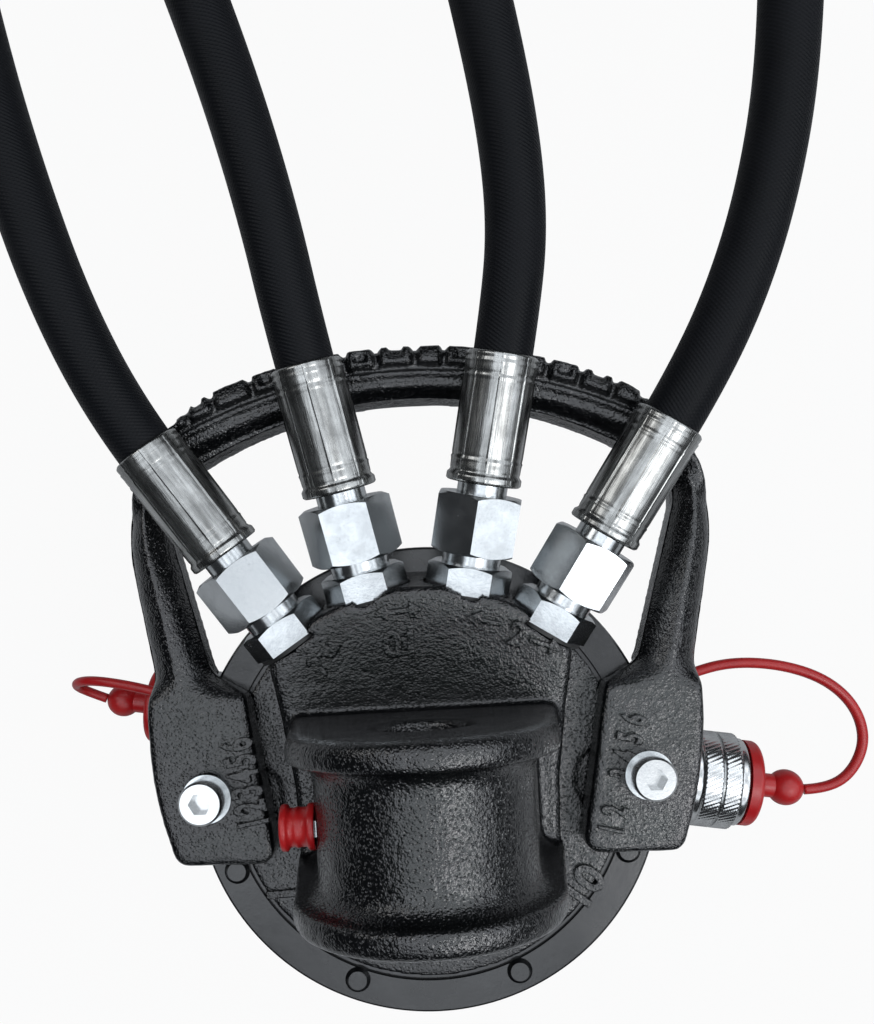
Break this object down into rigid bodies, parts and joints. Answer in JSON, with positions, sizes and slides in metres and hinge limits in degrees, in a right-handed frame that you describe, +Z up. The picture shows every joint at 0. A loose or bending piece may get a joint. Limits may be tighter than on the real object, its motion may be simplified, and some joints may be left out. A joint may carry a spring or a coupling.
{
  "type": "hydraulic grapple rotator",
  "caption": "Hydraulic rotator that hangs a grapple from a link eye and turns it without end, with hose ports, a hose guard and quick couplings.",
  "frame": {"origin": "centre of the rotor's bottom flange face, on the slewing axis", "axes": "+Z up along the slewing axis to the link eye, +Y along the link bore towards the hoses, +X to the right of the casting"},
  "size_m": [0.3257, 0.6577, 0.2465],
  "materials": {
    "black_paint": "gloss over a cast surface",
    "black_paint_guard": "gloss over a rough cast surface",
    "zinc_steel": "bright zinc plate",
    "dark_steel": "blackened",
    "bronze": "machined",
    "seal_rubber": "matte",
    "hose_rubber": "matte with a faint cloth pattern",
    "red_plastic": "soft moulded"
  },
  "bodies": {
    "stator": {"stator_casting": "black_paint", "cam_ring": "black_paint", "lower_cover": "black_paint", "clamp_screws": "dark_steel", "upper_bush": "bronze", "lower_bush": "bronze", "thrust_washer": "bronze", "shaft_seals": "seal_rubber", "body_seals": "seal_rubber", "hose_guard": "black_paint_guard", "guard_screws": "zinc_steel", "guard_washers": "zinc_steel", "grease_nipple": "zinc_steel", "port_seals": "seal_rubber", "port_adapter_1": "zinc_steel", "hose_nut_1": "zinc_steel", "hose_stem_1": "zinc_steel", "ferrule_1": "zinc_steel", "port_adapter_2": "zinc_steel", "hose_nut_2": "zinc_steel", "hose_stem_2": "zinc_steel", "ferrule_2": "zinc_steel", "port_adapter_3": "zinc_steel", "hose_nut_3": "zinc_steel", "hose_stem_3": "zinc_steel", "ferrule_3": "zinc_steel", "port_adapter_4": "zinc_steel", "hose_nut_4": "zinc_steel", "hose_stem_4": "zinc_steel", "ferrule_4": "zinc_steel", "hose_1": "hose_rubber", "hose_2": "hose_rubber", "hose_3": "hose_rubber", "hose_4": "hose_rubber", "end_ferrule_1": "zinc_steel", "end_stem_1": "zinc_steel", "end_nut_1": "zinc_steel", "end_ferrule_2": "zinc_steel", "end_stem_2": "zinc_steel", "end_nut_2": "zinc_steel", "end_ferrule_3": "zinc_steel", "end_stem_3": "zinc_steel", "end_nut_3": "zinc_steel", "end_ferrule_4": "zinc_steel", "end_stem_4": "zinc_steel", "end_nut_4": "zinc_steel"},
    "rotor": {"rotor_shaft": "black_paint", "vanes": "dark_steel", "lanyard_rings": "red_plastic", "coupling_adapter_right": "zinc_steel", "coupling_body_right": "zinc_steel", "lanyard_right": "red_plastic", "coupling_adapter_left": "zinc_steel", "coupling_body_left": "zinc_steel", "lanyard_left": "red_plastic"},
    "sleeve_right": {"coupling_sleeve_right": "zinc_steel"},
    "sleeve_left": {"coupling_sleeve_left": "zinc_steel"},
    "plug_right": {"dust_plug_right": "red_plastic"},
    "plug_left": {"dust_plug_left": "red_plastic"},
    "grease_cap": {"grease_cap": "red_plastic"}
  },
  "joints": [
    {"name": "rotor_spin", "type": "hinge", "parent": "stator", "child": "rotor", "pos_m": [0, 0, 0], "axis": [0, 0, 1], "continuous": true},
    {"name": "coupling_sleeve_right_slide", "type": "slide", "parent": "rotor", "child": "sleeve_right", "axis": [-0.9863, 0.165, 0], "range_m": [0, 0.005], "stiffness_N_per_m": 1500, "springref_m": -0.003},
    {"name": "coupling_sleeve_left_slide", "type": "slide", "parent": "rotor", "child": "sleeve_left", "axis": [0.9863, -0.165, 0], "range_m": [0, 0.005], "stiffness_N_per_m": 1500, "springref_m": -0.003},
    {"name": "dust_plug_right_pull", "type": "slide", "parent": "rotor", "child": "plug_right", "axis": [0.9863, -0.165, 0], "range_m": [0, 0.03], "deforming": ["lanyard_right"]},
    {"name": "dust_plug_left_pull", "type": "slide", "parent": "rotor", "child": "plug_left", "axis": [-0.9863, 0.165, 0], "range_m": [0, 0.03], "deforming": ["lanyard_left"]},
    {"name": "grease_cap_pull", "type": "slide", "parent": "stator", "child": "grease_cap", "axis": [-1, 0, 0], "range_m": [0, 0.012]}
  ]
}
